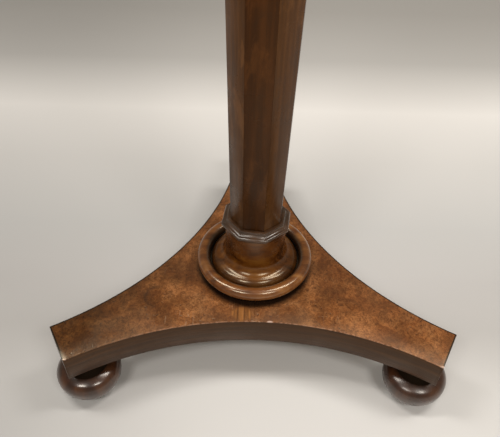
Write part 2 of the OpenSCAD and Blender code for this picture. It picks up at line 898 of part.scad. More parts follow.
top_board(middle_board_w / 2, far / 2);  // top_board_back
top_leaf(1);  // top_leaf_1
top_leaf(2);  // top_leaf_2
top_leaf(3);  // top_leaf_3
top_leaf(4);  // top_leaf_4
crossbanding();
top_rim(1);  // top_rim_1
top_rim(2);  // top_rim_2
top_rim(3);  // top_rim_3
top_rim(4);  // top_rim_4
catch_plate();
catch_case();
catch_bolt();
catch_knob();
catch_spring();
catch_screws();
strike_plate();
strike_screws();
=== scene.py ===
# %% [markdown]
# # A tilt-top occasional table
# The table's solids are already there, each in its place. This lesson gives them finer shapes and their
# finishes: burr walnut, plain walnut, dark turned wood, pine, mahogany, beech, brass and steel.
# The solids are loaded first, because every new piece takes its place from them.

# %% Load the solids
import json
import math
import bmesh
import bpy
from mathutils import Matrix, Vector

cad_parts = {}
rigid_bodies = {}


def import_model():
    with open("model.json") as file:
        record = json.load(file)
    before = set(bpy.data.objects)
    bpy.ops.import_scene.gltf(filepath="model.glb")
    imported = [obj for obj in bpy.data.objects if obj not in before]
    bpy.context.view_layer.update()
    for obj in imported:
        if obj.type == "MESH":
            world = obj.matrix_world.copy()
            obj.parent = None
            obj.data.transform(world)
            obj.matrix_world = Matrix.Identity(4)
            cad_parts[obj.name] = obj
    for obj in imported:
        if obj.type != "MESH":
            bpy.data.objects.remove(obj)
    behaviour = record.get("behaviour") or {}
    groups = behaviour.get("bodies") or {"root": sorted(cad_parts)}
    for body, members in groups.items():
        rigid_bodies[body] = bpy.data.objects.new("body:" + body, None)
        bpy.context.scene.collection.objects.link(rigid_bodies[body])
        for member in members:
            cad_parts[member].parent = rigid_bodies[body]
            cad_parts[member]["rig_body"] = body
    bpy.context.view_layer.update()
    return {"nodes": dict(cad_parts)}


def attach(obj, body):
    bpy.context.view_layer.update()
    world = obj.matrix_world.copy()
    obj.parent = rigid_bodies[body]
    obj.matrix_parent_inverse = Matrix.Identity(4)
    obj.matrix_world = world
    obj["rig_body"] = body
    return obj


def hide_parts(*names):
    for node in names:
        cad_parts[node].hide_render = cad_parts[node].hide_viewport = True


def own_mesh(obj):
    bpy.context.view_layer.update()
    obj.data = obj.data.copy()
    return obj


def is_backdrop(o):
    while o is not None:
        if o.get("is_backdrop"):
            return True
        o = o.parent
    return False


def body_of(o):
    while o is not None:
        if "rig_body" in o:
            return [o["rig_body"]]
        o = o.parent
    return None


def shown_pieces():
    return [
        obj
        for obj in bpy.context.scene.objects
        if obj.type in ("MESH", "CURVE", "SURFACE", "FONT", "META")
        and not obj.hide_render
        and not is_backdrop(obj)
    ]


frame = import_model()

MM = 0.001
bpy.context.scene.view_settings.view_transform = "Standard"

# %% [markdown]
# ## The camera
# The picture looks down on the foot of the table from the front. A camera needs a place, a direction and
# a focal length. These were worked out from the corners of the platform and the sides of the column,
# which have known places, so the camera isn't guessed by eye.

# %% Camera
CAMERA_AT, LENS, SENSOR = (-0.01514, -0.42656, 0.55719), 41.865, 36
AIM_LEFT, AIM_DOWN, LEAN = -0.0206, 0.7611, 0.0371
camera_data = bpy.data.cameras.new("camera")
camera_data.lens, camera_data.sensor_width = LENS, SENSOR
camera = bpy.data.objects.new("camera", camera_data)
bpy.context.scene.collection.objects.link(camera)
camera.matrix_world = (Matrix.Translation(CAMERA_AT) @ Matrix.Rotation(AIM_LEFT, 4, "Z")
                       @ Matrix.Rotation(math.pi / 2 - AIM_DOWN, 4, "X") @ Matrix.Rotation(LEAN, 4, "Z"))
bpy.context.scene.camera = camera
print("camera height:", camera.location.z)

# %% [markdown]
# ## Nodes with less typing
# A material is a small network. Building one by hand in the editor is dragging nodes and wires, and in
# code it is the same three steps over and over: add a node, set its properties, fill its inputs.
# These helpers do those steps. An input is filled with a number, or with another node's output.

# %% Helpers for nodes
def fill(tree, made, values):
    """Fills the inputs of a node: an output is wired up, and anything else is a plain value."""
    for name, value in values.items():
        if isinstance(value, bpy.types.NodeSocket):
            tree.links.new(value, made.inputs[name])
        else:
            made.inputs[name].default_value = value
    return made


def put(tree, kind, values, **settings):
    made = tree.nodes.new("ShaderNode" + kind)
    for name, value in settings.items():
        setattr(made, name, value)
    return fill(tree, made, values)


def use(tree, group, **values):
    made = tree.nodes.new("ShaderNodeGroup")
    made.node_tree = group
    return fill(tree, made, values).outputs


def new_group(name, takes, gives):
    tree = bpy.data.node_groups.new(name, "ShaderNodeTree")
    for label, kind in takes:
        tree.interface.new_socket(name=label, in_out="INPUT", socket_type="NodeSocket" + kind)
    for label in gives:
        tree.interface.new_socket(name=label, in_out="OUTPUT", socket_type="NodeSocketFloat")
    return tree, tree.nodes.new("NodeGroupInput").outputs, tree.nodes.new("NodeGroupOutput").inputs


# %% Helpers for numbers and places
def figure(tree, how, *values):
    """One sum: the operation's name, then its numbers or outputs."""
    return put(tree, "Math", dict(enumerate(values)), operation=how).outputs[0]


def times(tree, one, other):
    return figure(tree, "MULTIPLY", one, other)


def between(tree, value, low, high, to_low=0.0, to_high=1.0):
    """A soft step: to_low below low, to_high above high."""
    return put(tree, "MapRange", {"Value": value, "From Min": low, "From Max": high, "To Min": to_low,
                                  "To Max": to_high}, interpolation_type="SMOOTHSTEP").outputs["Result"]


def vector(tree, how, *values):
    """A sum with vectors. Length, distance and dot product give a number."""
    made = put(tree, "VectorMath", dict(enumerate(values)), operation=how)
    return made.outputs["Value" if how in ("LENGTH", "DISTANCE", "DOT_PRODUCT") else "Vector"]


def scaled(tree, value, by):
    """A vector made longer or shorter, by a number or an output."""
    return put(tree, "VectorMath", {0: value, "Scale": by}, operation="SCALE").outputs["Vector"]


def stretched(tree, at, scale, **more):
    return put(tree, "Mapping", {"Vector": at, "Scale": scale, **more}).outputs["Vector"]


def flattened(tree, place):
    """A place without its height."""
    return vector(tree, "MULTIPLY", place, (1, 1, 0))


def axis_of(tree, place, axis):
    return put(tree, "SeparateXYZ", {"Vector": place}).outputs[axis]


# %% Helpers for colours
def noise(tree, at, scale, detail=3.0, rough=0.5, twist=0.0, output="Fac"):
    return put(tree, "TexNoise", {"Vector": at, "Scale": scale, "Detail": detail, "Roughness": rough,
                                  "Distortion": twist}).outputs[output]


def shades(tree, value, stops):
    """A colour ramp. Each stop is a place from 0 to 1 and a colour."""
    made = put(tree, "ValToRGB", {"Fac": value})
    points = made.color_ramp.elements
    for _ in stops[2:]:
        points.new(0.5)
    for point, (place, colour) in zip(points, stops):
        point.position, point.color = place, (*colour, 1)
    return made.outputs["Color"]


def over(tree, share, below, above, how="MIX"):
    """Lays one colour over another, as far as the share says."""
    return put(tree, "Mix", {0: share, 6: below, 7: above}, data_type="RGBA", blend_type=how).outputs[2]


def tinted(tree, share, tone, tint):
    """Makes a colour lighter, darker or warmer, as far as the share says."""
    return over(tree, share, tone, (*tint, 1), "MULTIPLY")


# %% Helpers for materials
def new_material(name, **plain):
    """A material with one Principled shader. What is the same all over is set on its own sockets."""
    material = bpy.data.materials.new(name)
    material.use_nodes = True
    tree = material.node_tree
    shader = tree.nodes["Principled BSDF"]
    for label, value in plain.items():
        shader.inputs[label.replace("_", " ")].default_value = value
    place = tree.nodes.new("ShaderNodeTexCoord").outputs["Object"]
    return material, tree, shader, place


def finish(tree, shader, colour, roughness, height, depth):
    """Wires the colour, the gloss and a bump whose depth is in metres."""
    tree.links.new(colour, shader.inputs["Base Color"])
    tree.links.new(roughness, shader.inputs["Roughness"])
    bump = put(tree, "Bump", {"Height": height, "Distance": depth, "Strength": 1.0})
    tree.links.new(bump.outputs["Normal"], shader.inputs["Normal"])

# %% [markdown]
# ## Floor and light
# The table stands on a pale sweep under four ceiling lamps, one at each side and two nearer the front,
# which is why each polished round shows a few bright streaks. The floor is a plain sheet that takes a
# real shadow near the table and turns into the colour of the air far away, so that no horizon shows. A
# sweep is never lit evenly, so its colour runs through bands from the front to the back and darkens to
# the left. Lamps for each band would also change the light on the table, and a colour doesn't.

# %% Floor
AIR, CEILING, BLACK = (0.342, 0.309, 0.262), (0.155, 0.135, 0.108), (0.0, 0.0, 0.0, 1)
BANDS_FRONT, BANDS_BACK = -0.4, 1.2
BANDS = [(0.0, (0.75, 0.73, 0.71)), (0.19, (0.77, 0.75, 0.72)), (0.28, (0.61, 0.59, 0.57)),
         (0.34, (0.61, 0.60, 0.58)), (0.43, (0.75, 0.73, 0.70)), (0.52, (0.96, 0.93, 0.89)),
         (0.63, (0.59, 0.57, 0.54)), (0.77, (0.48, 0.46, 0.43))]

bpy.ops.object.select_all(action="DESELECT")
bpy.ops.mesh.primitive_grid_add(x_subdivisions=8, y_subdivisions=8, size=60)
floor = bpy.context.active_object
floor.name = "floor"
sweep, tree, shader, place = new_material("sweep", Roughness=0.75, Specular_IOR_Level=0.2)
across, back = axis_of(tree, place, "X"), axis_of(tree, place, "Y")
depth = put(tree, "MapRange", {"Value": back, "From Min": BANDS_FRONT, "From Max": BANDS_BACK})
paper = shades(tree, depth.outputs["Result"], BANDS)
paper = over(tree, between(tree, across, -0.45, 0.25, 0.22, 0.0), paper, BLACK)
near_left = between(tree, across, -0.30, 0.0, 0.22, 0.0)
near_left = times(tree, near_left, between(tree, back, -0.16, 0.0, 1.0, 0.0))
paper = over(tree, near_left, paper, BLACK)
cloud = noise(tree, place, 2.2, 2.0)
paper = over(tree, between(tree, cloud, 0.3, 0.7, 0.0, 0.10), paper, (0.45, 0.44, 0.42, 1))
tree.links.new(paper, shader.inputs["Base Color"])
far_away = between(tree, vector(tree, "LENGTH", place), 1.0, 3.0)
air = put(tree, "Emission", {"Color": (*AIR, 1), "Strength": 1.0})
mixed = put(tree, "MixShader", {0: far_away, 1: shader.outputs["BSDF"], 2: air.outputs["Emission"]})
tree.links.new(mixed.outputs["Shader"], tree.nodes["Material Output"].inputs["Surface"])
floor.data.materials.append(sweep)
floor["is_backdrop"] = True
print("floor:", floor.name)

# %% World and lamps
LAMP_UP, LAMP_WATTS, LAMP_COLOUR = 2.0, 17.0, (1.0, 0.975, 0.94)
LAMPS = (("side_left", -0.88, 0.10, 1.0, 0.34), ("side_right", 0.88, 0.10, 1.0, 0.34),
         ("front_left", -0.80, -1.35, 0.7, 0.4), ("front_right", 0.80, -1.35, 0.7, 0.4))

world = bpy.data.worlds.new("air")
bpy.context.scene.world = world
world.use_nodes = True
sky = world.node_tree
upward = axis_of(sky, sky.nodes.new("ShaderNodeTexCoord").outputs["Generated"], "Z")
ceiling = over(sky, between(sky, upward, 0.1, 0.6), (*AIR, 1), (*CEILING, 1))
sky.links.new(ceiling, sky.nodes["Background"].inputs["Color"])
sky.nodes["Background"].inputs["Strength"].default_value = 1.0

lamps = []
for label, x, y, wide, deep in LAMPS:
    light = bpy.data.lights.new("lamp_" + label, "AREA")
    light.shape, light.size, light.size_y = "RECTANGLE", wide, deep
    light.energy, light.color = LAMP_WATTS, LAMP_COLOUR
    lamp = bpy.data.objects.new("lamp_" + label, light)
    lamp.location = (x, y, LAMP_UP)
    bpy.context.scene.collection.objects.link(lamp)
    lamps.append(lamp)
print("lamps:", len(lamps))

# %% [markdown]
# ## Shared effects
# Four effects turn up in many finishes, so each is built once as a node group. Straight grain is noise
# that has been stretched along the wood. Burr is noise bent by another noise, with small dark eyes.
# Polish holds what years of handling leave, which is smudges and fine scratches. Arris tells how near a
# point is to the worn edges of the platform, from its own drawing of three arcs and three flats.

# %% Group: straight grain
grain_group, takes, gives = new_group("straight grain", [("Vector", "Vector")], ["Streak", "Pores"])
wander = noise(grain_group, takes["Vector"], 0.5, 2.0, output="Color")
bent = vector(grain_group, "ADD", takes["Vector"], scaled(grain_group, wander, 0.9))
streak = noise(grain_group, bent, 1.0, 5.0, 0.62)
grain_group.links.new(between(grain_group, streak, 0.30, 0.70), gives["Streak"])
pores = noise(grain_group, takes["Vector"], 7.0, 2.0, 0.5)
grain_group.links.new(between(grain_group, pores, 0.62, 0.80), gives["Pores"])
print("group:", grain_group.name)

# %% Group: burr
burr_group, takes, gives = new_group(
    "burr", [("Vector", "Vector"), ("Warp", "Float")], ["Cloud", "Curl", "Eyes"])
swirl = noise(burr_group, takes["Vector"], 0.9, 3.0, output="Color")
pull = scaled(burr_group, vector(burr_group, "SUBTRACT", swirl, (0.5, 0.5, 0.5)), takes["Warp"])
bent = vector(burr_group, "ADD", takes["Vector"], pull)
cloud = noise(burr_group, bent, 1.3, 6.0, 0.66)
burr_group.links.new(between(burr_group, cloud, 0.28, 0.72), gives["Cloud"])
ridge = noise(burr_group, bent, 5.6, 4.0, 0.66, 1.6)
ridge = figure(burr_group, "ABSOLUTE", figure(burr_group, "SUBTRACT", ridge, 0.5))
burr_group.links.new(between(burr_group, ridge, 0.0, 0.050, 1.0, 0.0), gives["Curl"])
cells = put(burr_group, "TexVoronoi", {"Vector": bent, "Scale": 7.5}).outputs["Distance"]
crowd = noise(burr_group, takes["Vector"], 1.1, 2.0)
eyes = between(burr_group, cells, 0.10, 0.24, 1.0, 0.0)
eyes = times(burr_group, eyes, between(burr_group, crowd, 0.46, 0.60))
burr_group.links.new(eyes, gives["Eyes"])
print("group:", burr_group.name)

# %% Group: polish
polish_group, takes, gives = new_group("polish", [("Vector", "Vector")], ["Smudge", "Scratch"])
smudge = noise(polish_group, takes["Vector"], 14.0, 4.0, 0.6)
polish_group.links.new(between(polish_group, smudge, 0.35, 0.68), gives["Smudge"])
lines = stretched(polish_group, takes["Vector"], (160, 9, 60), Rotation=(0.2, 0.1, 0.6))
lines = noise(polish_group, lines, 1.0, 2.0, 0.5, 0.4)
lines = figure(polish_group, "ABSOLUTE", figure(polish_group, "SUBTRACT", lines, 0.5))
where = between(polish_group, noise(polish_group, takes["Vector"], 22.0, 2.0), 0.56, 0.66)
scratch = times(polish_group, between(polish_group, lines, 0.0, 0.012, 1.0, 0.0), where)
polish_group.links.new(scratch, gives["Scratch"])
print("group:", polish_group.name)

# %% Group: arris
HOLLOW_OUT, HOLLOW_R, REACH = 425.8 * MM, 346.8 * MM, 218 * MM
arris_group, takes, gives = new_group(
    "arris", [("Vector", "Vector"), ("Width", "Float")], ["Edge", "Inside"])
flat = flattened(arris_group, takes["Vector"])
nearest = None
for turn in (90, 210, 330):
    arm = (math.cos(math.radians(turn)), math.sin(math.radians(turn)), 0)
    to_end = figure(arris_group, "SUBTRACT", REACH, vector(arris_group, "DOT_PRODUCT", flat, arm))
    centre = tuple(-HOLLOW_OUT * part for part in arm)
    to_side = figure(arris_group, "SUBTRACT", vector(arris_group, "DISTANCE", flat, centre), HOLLOW_R)
    both = figure(arris_group, "MINIMUM", to_end, to_side)
    nearest = both if nearest is None else figure(arris_group, "MINIMUM", nearest, both)
arris_group.links.new(between(arris_group, nearest, 0.0, takes["Width"], 1.0, 0.0), gives["Edge"])
arris_group.links.new(nearest, gives["Inside"])
print("group:", arris_group.name)

# %% [markdown]
# ## Wear and painted shade on the platform
# The platform is the part that gets kicked, rubbed and spilt on. Its front arris is rubbed down to pale
# wood, its other arrises are painted darker, dirt and the shade under the ring are painted round the ring,
# and a wet glass left part of a ring on one arm. The left arm is painted in shade and the right arm in
# light, as the light falls off to the left. All of that sits in places, so it is worked out from the place
# on the platform.
# A patch at the front joint is straight-grained, where the burr didn't reach.

# %% Helper: marks on the platform
RUBBED, DARK_ARRIS, SHADE_AND_DIRT = (0.46, 0.24, 0.14, 1), (0.010, 0.007, 0.005, 1), (0.012, 0.006, 0.004, 1)
STAIN, PALE_CHIP = (0.045, 0.020, 0.011, 1), (0.60, 0.42, 0.34, 1)
SHADED_ARM, LIT_ARM = (0.42, 0.39, 0.31), (1.16, 1.12, 1.08)
PATCH_STOPS = [(0.1, (0.070, 0.022, 0.006)), (0.8, (0.33, 0.13, 0.032))]
PATCH_AT, STAIN_AT, STAIN_R = (-0.0115, -0.070, 0), (-0.099, -0.050, 0), 0.013
CHIPS = (((-0.177, -0.1265, 0), 0.0002), ((0.0157, -0.0790, 0), 0.0006), ((0.1772, -0.1272, 0), 0.0007))


def pale_and_dark_arrises(tree, place, flat, tone):
    edge = use(tree, arris_group, Vector=place, Width=0.0011)
    to_front = vector(tree, "DISTANCE", flat, (0, -HOLLOW_OUT, 0))
    front = between(tree, to_front, HOLLOW_R + 0.0016, HOLLOW_R + 0.0030, 1.0, 0.0)
    line = times(tree, edge["Edge"], between(tree, noise(tree, place, 260.0, 3.0), 0.40, 0.60))
    tone = over(tree, times(tree, times(tree, line, front), 0.6), tone, RUBBED)
    # The other arrises are painted darker, in a band one to two millimetres wide.
    darker_band = between(tree, edge["Inside"], 0.0009, 0.0020, 1.0, 0.0)
    darker_band = times(tree, darker_band, figure(tree, "SUBTRACT", 1.0, front))
    return over(tree, times(tree, darker_band, 0.95), tone, DARK_ARRIS)


def striped_patch(tree, place, flat, tone):
    stripes = use(tree, grain_group, Vector=stretched(tree, place, (420, 22, 40)))["Streak"]
    away = vector(tree, "MULTIPLY", vector(tree, "SUBTRACT", flat, PATCH_AT), (1.0, 1.4, 0))
    away = figure(tree, "ADD", vector(tree, "LENGTH", away), times(tree, noise(tree, place, 90.0), 0.01))
    inside = between(tree, away, 0.013, 0.019, 0.85, 0.0)
    return over(tree, inside, tone, shades(tree, stripes, PATCH_STOPS))


def platform_marks(tree, place, tone):
    flat, across = flattened(tree, place), axis_of(tree, place, "X")
    tone = pale_and_dark_arrises(tree, place, flat, tone)
    # Painted shade and dirt round the ring: the platform under the ring's roll and just outside it is
    # painted nearly black, where the ring's shade falls.
    tone = over(tree, between(tree, vector(tree, "LENGTH", flat), 0.058, 0.065, 0.95, 0.0), tone, SHADE_AND_DIRT)
    # Painted shade on the left arm and painted light on the right arm, as the light falls off to the left.
    tone = tinted(tree, between(tree, across, -0.17, -0.07, 1.0, 0.0), tone, SHADED_ARM)
    tone = tinted(tree, between(tree, across, 0.04, 0.10), tone, LIT_ARM)
    tone = striped_patch(tree, place, flat, tone)
    stain = figure(tree, "SUBTRACT", vector(tree, "DISTANCE", flat, STAIN_AT), STAIN_R)
    stain = between(tree, figure(tree, "ABSOLUTE", stain), 0.0, 0.0035, 0.55, 0.0)
    left_part = between(tree, across, -0.104, -0.094, 1.0, 0.0)
    tone = over(tree, times(tree, stain, left_part), tone, STAIN)
    for spot, size in CHIPS:
        chip = vector(tree, "MULTIPLY", vector(tree, "SUBTRACT", flat, spot), (0.4, 1.0, 0.0))
        chip = between(tree, vector(tree, "LENGTH", chip), size, size + 0.0008, 0.8, 0.0)
        tone = over(tree, chip, tone, PALE_CHIP)
    return tone


# %% [markdown]
# ## The finishes
# Each wood is a colour ramp driven by its figure, a gloss that varies with handling, and a shallow bump.
# Colours are written darker than the picture looks, because the polish adds its own pale reflection.
# Old polish has turned amber, and so has what it reflects. Burr comes first: every leaf is cut from
# another place of the same cloud, and the leaves of the top are mirrored, as leaves from one bundle are.

# %% Burr walnut
AMBER, CREAM = (1.0, 0.86, 0.62, 1), (1.0, 0.94, 0.86, 1)
BURR_SCALE = (28, 28, 28)
BURR_STOPS = [(0.0, (0.110, 0.040, 0.013)), (0.35, (0.172, 0.066, 0.021)), (0.65, (0.232, 0.094, 0.031)),
              (1.0, (0.320, 0.138, 0.050))]
CURL, EYE, FLECK = (0.080, 0.022, 0.007, 1), (0.035, 0.013, 0.005, 1), (0.066, 0.020, 0.007, 1)


def burr_walnut(name, turn=0.0, shift=(0, 0, 0), mirror=False, marks=None):
    material, tree, shader, place = new_material(name, Specular_Tint=AMBER)
    at = vector(tree, "ABSOLUTE", place) if mirror else place
    at = stretched(tree, at, BURR_SCALE, Location=shift, Rotation=(0, 0, turn))
    burr = use(tree, burr_group, Vector=at, Warp=1.1)
    tone = shades(tree, burr["Cloud"], BURR_STOPS)
    tone = over(tree, times(tree, burr["Curl"], 0.62), tone, CURL)
    tone = over(tree, times(tree, burr["Eyes"], 0.75), tone, EYE)
    flecks = noise(tree, place, 330.0, 3.0, 0.75, 0.8)
    tone = over(tree, between(tree, flecks, 0.38, 0.54, 0.62, 0.0), tone, FLECK)
    patches = noise(tree, place, 60.0, 3.0, 0.6, 0.6)
    tone = tinted(tree, between(tree, patches, 0.40, 0.62), tone, (1.30, 1.24, 1.16))
    worn = use(tree, polish_group, Vector=place)
    gloss = figure(tree, "ADD", between(tree, worn["Smudge"], 0.0, 1.0, 0.24, 0.42),
                   times(tree, worn["Scratch"], 0.2))
    tone = over(tree, times(tree, worn["Scratch"], 0.10), tone, (0.42, 0.28, 0.16, 1))
    if marks:
        tone = marks(tree, place, tone)
    height = figure(tree, "SUBTRACT", times(tree, burr["Cloud"], 0.5),
                    figure(tree, "ADD", burr["Eyes"], worn["Scratch"]))
    finish(tree, shader, tone, gloss, height, depth=0.00012)
    return material


platform_burr = {arm: burr_walnut("platform_burr_" + arm, turn, shift, marks=platform_marks)
                 for arm, turn, shift in (("back", 0.3, (3.1, 1.7, 0)), ("left", 2.2, (0.4, 5.2, 0)),
                                          ("right", 4.1, (7.7, 2.9, 0)))}
top_burr = burr_walnut("top_burr", 0.4, (1.3, 0.6, 0), mirror=True)
print("burr finishes:", len(platform_burr) + 1)

# %% [markdown]
# ## Plain woods
# All the other woods have straight grain, and differ in colour, in how fine the grain is and in how they
# were polished. The turned pieces were polished on the lathe, so they have a clear coat over the wood.
# Shade is painted into their hollows, undersides and necks, which draws their lines. One helper makes
# all of these, because then each wood is only a few numbers that can be compared.

# %% Helpers for plain woods
def plain_wood(name, scale, stops, gloss, depth=0.00008, pore=0.35, at=None, marks=None, **plain):
    """Grain runs along the direction with the smallest scale. Stops are the ramp from dark to light."""
    material, tree, shader, place = new_material(name, **{"Specular_Tint": AMBER, **plain})
    grain = use(tree, grain_group, Vector=stretched(tree, at(tree, place) if at else place, scale))
    worn = use(tree, polish_group, Vector=place)
    darkest = stops[0][1]
    tone = shades(tree, grain["Streak"], stops)
    tone = tinted(tree, times(tree, grain["Pores"], pore), tone, darkest)
    tone = over(tree, times(tree, worn["Smudge"], 0.18), tone, (*darkest, 1))
    if marks:
        tone = marks(tree, place, tone)
    height = figure(tree, "SUBTRACT", grain["Streak"], figure(tree, "ADD", grain["Pores"], worn["Scratch"]))
    finish(tree, shader, tone, between(tree, worn["Smudge"], 0.0, 1.0, *gloss), height, depth)
    return material


def round_the_axis(tree, place):
    """Turns X, Y, Z into the distance round the table, the distance from its axis, and the height."""
    turn = figure(tree, "ARCTAN2", axis_of(tree, place, "Y"), axis_of(tree, place, "X"))
    round_it = times(tree, figure(tree, "ABSOLUTE", turn), 0.25)
    out, up = vector(tree, "LENGTH", flattened(tree, place)), axis_of(tree, place, "Z")
    return put(tree, "CombineXYZ", {"X": round_it, "Y": out, "Z": up}).outputs["Vector"]


def painted_shade(*bands):
    """Painted shade in hollows, under rolls and on necks: each band is an axis, where it starts and stops,
    and how much.
    """
    def darken(tree, place, tone):
        along = {"out": vector(tree, "LENGTH", flattened(tree, place)), "up": axis_of(tree, place, "Z")}
        for axis, start, stop, much in bands:
            low, high = (0.0, much) if start < stop else (much, 0.0)
            share = between(tree, along[axis], min(start, stop), max(start, stop), low, high)
            tone = over(tree, share, tone, (0.012, 0.008, 0.005, 1))
        return tone
    return darken


# %% Turned and moulded woods
TURNED = {"depth": 0.00002, "pore": 0.1, "Coat_Roughness": 0.34, "Coat_IOR": 1.5}
RING_STOPS = [(0.0, (0.054, 0.016, 0.004)), (0.4, (0.145, 0.046, 0.011)), (0.75, (0.220, 0.080, 0.019)),
              (1.0, (0.310, 0.130, 0.034))]
SOCLE_STOPS = [(0.0, (0.030, 0.008, 0.001)), (0.4, (0.088, 0.025, 0.003)), (0.75, (0.140, 0.044, 0.005)),
               (1.0, (0.200, 0.074, 0.010))]
FOOT_STOPS = [(0.0, (0.022, 0.006, 0.002)), (0.5, (0.046, 0.013, 0.004)), (1.0, (0.082, 0.028, 0.008))]
COLLAR_STOPS = [(0.0, (0.030, 0.013, 0.005)), (1.0, (0.085, 0.040, 0.018))]
NECK_FROM, NECK_FULL = 0.0355, 0.0385

# Painted shade: the ring darkens on its inner wall and underside, the socle at its outer foot and just
# under the collar, and each foot on its neck under the platform.
ring_wood = plain_wood("ring_wood", (16, 60, 60), RING_STOPS, (0.20, 0.29), **TURNED,
                       marks=painted_shade(("out", 0.0535, 0.0485, 0.9), ("up", 0.0955, 0.0915, 0.95)),
                       Coat_Weight=0.35, Specular_IOR_Level=0.85)
socle_wood = plain_wood("socle_wood", (16, 60, 60), SOCLE_STOPS, (0.20, 0.30), **TURNED,
                        marks=painted_shade(("out", 0.0365, 0.0445, 0.5), ("up", 0.1445, 0.1485, 0.6)),
                        Coat_Weight=0.1, Specular_IOR_Level=0.6)
turned_dark = plain_wood("turned_dark", (60, 60, 14), FOOT_STOPS, (0.18, 0.30), **TURNED,
                         marks=painted_shade(("up", 0.0350, 0.0385, 0.95), ("up", 0.0385, 0.041, 0.6)),
                         Coat_Weight=0.55, Specular_IOR_Level=0.65, Specular_Tint=CREAM)
collar_wood = plain_wood("collar_wood", (60, 60, 160), COLLAR_STOPS, (0.22, 0.32), **TURNED,
                         Coat_Weight=0.55, Specular_IOR_Level=0.7, Specular_Tint=CREAM)

# The necks of the feet also lose their shine where the neck begins, so that with their painted shade they
# read dark under the platform.
tree = turned_dark.node_tree
shader = tree.nodes["Principled BSDF"]
up = axis_of(tree, tree.nodes["Texture Coordinate"].outputs["Object"], "Z")
for label in ("Specular IOR Level", "Coat Weight"):
    shine = shader.inputs[label].default_value
    tree.links.new(between(tree, up, NECK_FROM, NECK_FULL, shine, 0.0), shader.inputs[label])
print("turned and moulded:", [wood.name for wood in (ring_wood, socle_wood, turned_dark, collar_wood)])

# %% Veneers, rim and hidden woods
side_walnut = plain_wood(
    "side_walnut", (14, 14, 260),
    [(0.0, (0.036, 0.013, 0.005)), (0.5, (0.048, 0.018, 0.006)), (1.0, (0.068, 0.025, 0.008))],
    (0.30, 0.48), Specular_IOR_Level=0.35)
rim_wood = plain_wood(
    "rim_wood", (16, 320, 320), [(0.0, (0.040, 0.018, 0.010)), (1.0, (0.130, 0.060, 0.028))],
    (0.20, 0.34), at=round_the_axis)
cross_wood = plain_wood(
    "cross_wood", (420, 22, 22), [(0.0, (0.060, 0.026, 0.012)), (1.0, (0.220, 0.105, 0.045))],
    (0.22, 0.38), at=round_the_axis)
pine = plain_wood(
    "pine", (10, 190, 190),
    [(0.0, (0.200, 0.110, 0.050)), (0.6, (0.400, 0.250, 0.120)), (1.0, (0.520, 0.350, 0.190))],
    (0.55, 0.80), depth=0.0002)
old_pine = plain_wood(
    "old_pine", (10, 190, 190), [(0.0, (0.050, 0.026, 0.012)), (1.0, (0.150, 0.085, 0.040))],
    (0.60, 0.85), depth=0.0002)
mahogany = plain_wood(
    "mahogany", (60, 12, 200), [(0.0, (0.045, 0.014, 0.008)), (1.0, (0.190, 0.070, 0.035))],
    (0.42, 0.62), depth=0.00015)
beech = plain_wood(
    "beech", (16, 220, 220), [(0.0, (0.330, 0.190, 0.095)), (1.0, (0.560, 0.370, 0.210))],
    (0.45, 0.65), depth=0.0001)
print("veneers and rim:", [wood.name for wood in (side_walnut, rim_wood, cross_wood)])
print("hidden woods:", [wood.name for wood in (pine, old_pine, mahogany, beech)])

# %% [markdown]
# ## Column veneer and metals
# Each side of the column has its own leaf of veneer. Every second side is painted paler and greyer, as
# painted light for the light and pale reflections that the sides next to the front catch, and the upper
# part has some flame in it. The catch is brass that has gone dull in places, and its spring and the
# bearers' screws are steel. A random step moves the wood of each side, so that no figure runs over an
# arris.

# %% Column veneer
TWIST, EIGHTH = -7.6, 45
COLUMN_STOPS = [(0.0, (0.044, 0.014, 0.003)), (0.5, (0.059, 0.018, 0.003)), (1.0, (0.082, 0.026, 0.005))]


def facet_place(tree, place, first_edge):
    """Gives each of the column's eight sides its own stretch of wood, and says which sides are painted
    paler.
    """
    turn = figure(tree, "ARCTAN2", axis_of(tree, place, "Y"), axis_of(tree, place, "X"))
    turn = figure(tree, "SUBTRACT", turn, math.radians(first_edge))
    number = figure(tree, "FLOOR", figure(tree, "DIVIDE", turn, math.radians(EIGHTH)))
    jump = put(tree, "TexWhiteNoise", {"W": number}, noise_dimensions="1D").outputs["Color"]
    return vector(tree, "ADD", place, scaled(tree, jump, 3.0)), figure(tree, "PINGPONG", number, 1.0)


column_wood, tree, shader, place = new_material("column_wood", Specular_IOR_Level=0.2, Specular_Tint=AMBER)
moved, painted_lit_side = facet_place(tree, place, 270 + TWIST - EIGHTH / 2)
streaks = use(tree, grain_group, Vector=stretched(tree, moved, (150, 150, 7)))
blotch = use(tree, burr_group, Vector=stretched(tree, moved, (30, 30, 13)), Warp=0.8)["Cloud"]
tone = shades(tree, streaks["Streak"], COLUMN_STOPS)
tone = over(tree, between(tree, blotch, 0.55, 1.0, 0.0, 0.5), tone, (0.150, 0.050, 0.010, 1))
tone = over(tree, between(tree, blotch, 0.0, 0.4, 0.5, 0.0), tone, (0.040, 0.016, 0.006, 1))
tone = over(tree, times(tree, streaks["Pores"], 0.3), tone, (0.030, 0.013, 0.006, 1))
